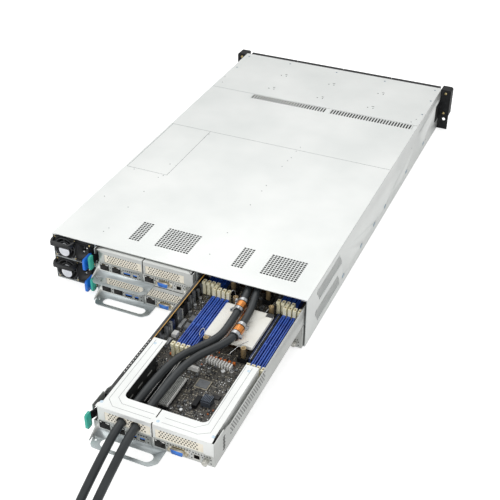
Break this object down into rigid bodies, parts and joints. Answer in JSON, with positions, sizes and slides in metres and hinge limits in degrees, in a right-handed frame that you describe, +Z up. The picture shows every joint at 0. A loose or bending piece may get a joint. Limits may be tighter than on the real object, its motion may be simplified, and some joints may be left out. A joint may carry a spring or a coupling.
{
  "type": "rack server",
  "caption": "Flat rack chassis with slide-out server nodes, hot-swap power supplies, drive carriers, fans and rack ears; one node is pulled out with coolant hoses.",
  "frame": {"origin": "centre of the underside of the chassis floor, without the rack ears", "axes": "+X to the right as seen from the rear, +Y towards the drive bays, +Z up"},
  "size_m": [0.5013, 1.3991, 0.0875],
  "materials": {
    "galvanised_steel": "satin galvanised sheet",
    "cover_steel": "satin galvanised sheet",
    "ear_plastic": "fine matte",
    "screw_steel": "satin",
    "circuit_board": "solder mask",
    "fan_plastic": "moulded",
    "button_plastic": "gloss",
    "carrier_steel": "painted",
    "supply_steel": "black coating",
    "blue_plastic": "moulded",
    "teal_plastic": "moulded",
    "tray_steel": "satin galvanised sheet",
    "jack_metal": "satin",
    "riser_steel": "satin",
    "socket_plastic": "moulded",
    "latch_plastic": "moulded",
    "cold_plate": "powder coat",
    "hose_rubber": "matte",
    "copper": "satin",
    "coupling_metal": "satin"
  },
  "bodies": {
    "chassis": {"bay_dividers": "galvanised_steel", "chassis_pan": "galvanised_steel", "chassis_screws": "screw_steel", "drive_cage": "galvanised_steel", "drive_cover": "cover_steel", "ear_left": "ear_plastic", "ear_right": "ear_plastic", "fan_cover": "cover_steel", "fan_frames": "fan_plastic", "rear_cover": "cover_steel", "supply_cover": "cover_steel", "system_boards": "circuit_board"},
    "upper_left_sled": {"node_upper_left_tray": "tray_steel", "node_upper_left_io": "jack_metal"},
    "lower_left_sled": {"node_lower_left_tray": "tray_steel", "node_lower_left_io": "jack_metal"},
    "lower_right_sled": {"node_lower_right_tray": "tray_steel", "node_lower_right_io": "jack_metal"},
    "upper_right_sled": {"node_upper_right_board": "circuit_board", "node_upper_right_cold_plates": "cold_plate", "node_upper_right_io": "jack_metal", "node_upper_right_latches": "latch_plastic", "node_upper_right_riser_cages": "riser_steel", "node_upper_right_sockets": "socket_plastic", "node_upper_right_tray": "tray_steel", "hose_supply": "hose_rubber", "hose_return": "hose_rubber", "hose_fittings": "copper", "hose_couplings": "coupling_metal"},
    "upper_left_tab": {"node_upper_left_tab": "teal_plastic"},
    "lower_left_tab": {"node_lower_left_tab": "teal_plastic"},
    "lower_right_tab": {"node_lower_right_tab": "teal_plastic"},
    "upper_right_tab": {"node_upper_right_tab": "teal_plastic"},
    "upper_supply": {"supply_upper_case": "supply_steel"},
    "upper_supply_fan": {"supply_upper_fan": "fan_plastic"},
    "upper_supply_tab": {"supply_upper_tab": "blue_plastic"},
    "lower_supply": {"supply_lower_case": "supply_steel"},
    "lower_supply_fan": {"supply_lower_fan": "fan_plastic"},
    "lower_supply_tab": {"supply_lower_tab": "blue_plastic"},
    "fan_1": {"fan_rotor_1": "fan_plastic"},
    "button_1": {"power_button_1": "button_plastic"},
    "fan_2": {"fan_rotor_2": "fan_plastic"},
    "button_2": {"power_button_2": "button_plastic"},
    "fan_3": {"fan_rotor_3": "fan_plastic"},
    "button_3": {"power_button_3": "button_plastic"},
    "fan_4": {"fan_rotor_4": "fan_plastic"},
    "button_4": {"power_button_4": "button_plastic"},
    "carrier_11": {"drive_carrier_11": "carrier_steel"},
    "carrier_12": {"drive_carrier_12": "carrier_steel"},
    "carrier_13": {"drive_carrier_13": "carrier_steel"},
    "carrier_21": {"drive_carrier_21": "carrier_steel"},
    "carrier_22": {"drive_carrier_22": "carrier_steel"},
    "carrier_23": {"drive_carrier_23": "carrier_steel"},
    "carrier_31": {"drive_carrier_31": "carrier_steel"},
    "carrier_32": {"drive_carrier_32": "carrier_steel"},
    "carrier_33": {"drive_carrier_33": "carrier_steel"},
    "carrier_41": {"drive_carrier_41": "carrier_steel"},
    "carrier_42": {"drive_carrier_42": "carrier_steel"},
    "carrier_43": {"drive_carrier_43": "carrier_steel"}
  },
  "joints": [
    {"name": "upper_left_slide", "type": "slide", "parent": "chassis", "child": "upper_left_sled", "axis": [0, -1, 0], "range_m": [0, 0.33]},
    {"name": "upper_left_tab_press", "type": "hinge", "parent": "upper_left_sled", "child": "upper_left_tab", "pos_m": [-0.1335, -0.385, 0.06605], "axis": [0, 0, 1], "range_deg": [0, 6], "stiffness_Nm_per_rad": 0.3},
    {"name": "lower_left_slide", "type": "slide", "parent": "chassis", "child": "lower_left_sled", "axis": [0, -1, 0], "range_m": [0, 0.33]},
    {"name": "lower_left_tab_press", "type": "hinge", "parent": "lower_left_sled", "child": "lower_left_tab", "pos_m": [-0.1335, -0.385, 0.0235], "axis": [0, 0, 1], "range_deg": [0, 6], "stiffness_Nm_per_rad": 0.3},
    {"name": "lower_right_slide", "type": "slide", "parent": "chassis", "child": "lower_right_sled", "axis": [0, -1, 0], "range_m": [0, 0.33]},
    {"name": "lower_right_tab_press", "type": "hinge", "parent": "lower_right_sled", "child": "lower_right_tab", "pos_m": [0.0465, -0.385, 0.0235], "axis": [0, 0, 1], "range_deg": [0, 6], "stiffness_Nm_per_rad": 0.3},
    {"name": "upper_right_slide", "type": "slide", "parent": "chassis", "child": "upper_right_sled", "axis": [0, -1, 0], "range_m": [-0.302, 0.028]},
    {"name": "upper_right_tab_press", "type": "hinge", "parent": "upper_right_sled", "child": "upper_right_tab", "pos_m": [0.0465, -0.687, 0.06605], "axis": [0, 0, 1], "range_deg": [0, 6], "stiffness_Nm_per_rad": 0.3},
    {"name": "upper_supply_slide", "type": "slide", "parent": "chassis", "child": "upper_supply", "axis": [0, -1, 0], "range_m": [0, 0.16]},
    {"name": "upper_supply_spin", "type": "hinge", "parent": "upper_supply", "child": "upper_supply_fan", "pos_m": [-0.1978, -0.375, 0.06405], "axis": [0, 1, 0], "continuous": true},
    {"name": "upper_supply_tab_press", "type": "hinge", "parent": "upper_supply", "child": "upper_supply_tab", "pos_m": [-0.1468, -0.377, 0.06405], "axis": [0, 0, 1], "range_deg": [-6, 0], "stiffness_Nm_per_rad": 0.3},
    {"name": "lower_supply_slide", "type": "slide", "parent": "chassis", "child": "lower_supply", "axis": [0, -1, 0], "range_m": [0, 0.16]},
    {"name": "lower_supply_spin", "type": "hinge", "parent": "lower_supply", "child": "lower_supply_fan", "pos_m": [-0.1978, -0.375, 0.0215], "axis": [0, 1, 0], "continuous": true},
    {"name": "lower_supply_tab_press", "type": "hinge", "parent": "lower_supply", "child": "lower_supply_tab", "pos_m": [-0.1468, -0.377, 0.0215], "axis": [0, 0, 1], "range_deg": [-6, 0], "stiffness_Nm_per_rad": 0.3},
    {"name": "fan_1_spin", "type": "hinge", "parent": "chassis", "child": "fan_1", "pos_m": [-0.095, 0.124, 0.0415], "axis": [0, 1, 0], "continuous": true},
    {"name": "button_1_press", "type": "slide", "parent": "chassis", "child": "button_1", "axis": [0, -1, 0], "range_m": [0, 0.0015], "stiffness_N_per_m": 400},
    {"name": "fan_2_spin", "type": "hinge", "parent": "chassis", "child": "fan_2", "pos_m": [-0.005, 0.124, 0.0415], "axis": [0, 1, 0], "continuous": true},
    {"name": "button_2_press", "type": "slide", "parent": "chassis", "child": "button_2", "axis": [0, -1, 0], "range_m": [0, 0.0015], "stiffness_N_per_m": 400},
    {"name": "fan_3_spin", "type": "hinge", "parent": "chassis", "child": "fan_3", "pos_m": [0.085, 0.124, 0.0415], "axis": [0, 1, 0], "continuous": true},
    {"name": "button_3_press", "type": "slide", "parent": "chassis", "child": "button_3", "axis": [0, -1, 0], "range_m": [0, 0.0015], "stiffness_N_per_m": 400},
    {"name": "fan_4_spin", "type": "hinge", "parent": "chassis", "child": "fan_4", "pos_m": [0.175, 0.124, 0.0415], "axis": [0, 1, 0], "continuous": true},
    {"name": "button_4_press", "type": "slide", "parent": "chassis", "child": "button_4", "axis": [0, -1, 0], "range_m": [0, 0.0015], "stiffness_N_per_m": 400},
    {"name": "carrier_11_slide", "type": "slide", "parent": "chassis", "child": "carrier_11", "axis": [0, 1, 0], "range_m": [0, 0.16]},
    {"name": "carrier_12_slide", "type": "slide", "parent": "chassis", "child": "carrier_12", "axis": [0, 1, 0], "range_m": [0, 0.16]},
    {"name": "carrier_13_slide", "type": "slide", "parent": "chassis", "child": "carrier_13", "axis": [0, 1, 0], "range_m": [0, 0.16]},
    {"name": "carrier_21_slide", "type": "slide", "parent": "chassis", "child": "carrier_21", "axis": [0, 1, 0], "range_m": [0, 0.16]},
    {"name": "carrier_22_slide", "type": "slide", "parent": "chassis", "child": "carrier_22", "axis": [0, 1, 0], "range_m": [0, 0.16]},
    {"name": "carrier_23_slide", "type": "slide", "parent": "chassis", "child": "carrier_23", "axis": [0, 1, 0], "range_m": [0, 0.16]},
    {"name": "carrier_31_slide", "type": "slide", "parent": "chassis", "child": "carrier_31", "axis": [0, 1, 0], "range_m": [0, 0.16]},
    {"name": "carrier_32_slide", "type": "slide", "parent": "chassis", "child": "carrier_32", "axis": [0, 1, 0], "range_m": [0, 0.16]},
    {"name": "carrier_33_slide", "type": "slide", "parent": "chassis", "child": "carrier_33", "axis": [0, 1, 0], "range_m": [0, 0.16]},
    {"name": "carrier_41_slide", "type": "slide", "parent": "chassis", "child": "carrier_41", "axis": [0, 1, 0], "range_m": [0, 0.16]},
    {"name": "carrier_42_slide", "type": "slide", "parent": "chassis", "child": "carrier_42", "axis": [0, 1, 0], "range_m": [0, 0.16]},
    {"name": "carrier_43_slide", "type": "slide", "parent": "chassis", "child": "carrier_43", "axis": [0, 1, 0], "range_m": [0, 0.16]}
  ]
}
